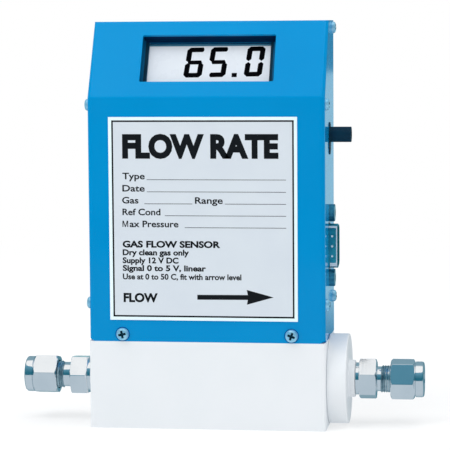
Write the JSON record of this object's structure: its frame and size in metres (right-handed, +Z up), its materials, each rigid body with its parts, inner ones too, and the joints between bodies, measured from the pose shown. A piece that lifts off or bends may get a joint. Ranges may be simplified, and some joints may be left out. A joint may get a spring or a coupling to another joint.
{
  "type": "mass flow meter",
  "caption": "Thermal mass flow meter: white plastic flow body with compression tube fittings under a folded sheet-metal housing with a tilted digital display.",
  "frame": {"origin": "centre of the flow body's underside", "axes": "+X with the flow, from inlet to outlet; -Y to the front with the label and the display; +Z up"},
  "size_m": [0.1557, 0.0414, 0.155],
  "materials": {
    "white_plastic": "smooth matte",
    "seal_rubber": "matte",
    "element_steel": "fine turned",
    "winding_copper": "enamelled",
    "sensor_aluminium": "satin",
    "fitting_steel": "bright turned",
    "blue_paint": "smooth satin",
    "chassis_paint": "smooth satin",
    "screw_steel": "zinc plated",
    "label_film": "printed film",
    "display_black": "fine matte",
    "display_glass": "reflective liquid crystal pane",
    "strip_rubber": "soft",
    "board_green": "solder mask",
    "chip_black": "moulded",
    "trimmer_blue": "moulded",
    "can_aluminium": "sleeved",
    "cable_jacket": "soft jacket",
    "connector_tin": "tin plated",
    "connector_plastic": "moulded",
    "contact_gold": "gold plated",
    "jack_nut_steel": "plated",
    "jack_black": "moulded"
  },
  "bodies": {
    "root": {"flow_body": "white_plastic", "flow_cap": "white_plastic", "cap_seal": "seal_rubber", "element_seal": "seal_rubber", "sensor_seals": "seal_rubber", "inlet_screen": "element_steel", "laminar_element": "element_steel", "sensor_base": "element_steel", "sensor_tube": "element_steel", "sensor_windings": "winding_copper", "sensor_cover": "sensor_aluminium", "inlet_fitting_body": "fitting_steel", "inlet_fitting_nut": "fitting_steel", "inlet_front_ferrule": "fitting_steel", "inlet_back_ferrule": "fitting_steel", "outlet_fitting_body": "fitting_steel", "outlet_fitting_nut": "fitting_steel", "outlet_front_ferrule": "fitting_steel", "outlet_back_ferrule": "fitting_steel", "front_cover": "blue_paint", "rear_chassis": "chassis_paint", "front_screws": "screw_steel", "back_screws": "screw_steel", "left_side_screws": "screw_steel", "right_side_screws": "screw_steel", "sensor_screws": "screw_steel", "display_screws": "screw_steel", "front_label": "label_film", "display_frame": "display_black", "display_glass": "display_glass", "contact_strips": "strip_rubber", "display_board": "board_green", "main_board": "board_green", "board_chips": "chip_black", "display_header": "chip_black", "board_sockets": "chip_black", "board_trimmers": "trimmer_blue", "board_capacitors": "can_aluminium", "display_cable": "cable_jacket", "sensor_cable": "cable_jacket", "connector_shell": "connector_tin", "connector_insulator": "connector_plastic", "connector_pins": "contact_gold", "jack_pin": "contact_gold", "lower_jack_nut": "jack_nut_steel", "upper_jack_nut": "jack_nut_steel", "power_jack": "jack_black", "jack_ring": "jack_black"}
  },
  "joints": []
}
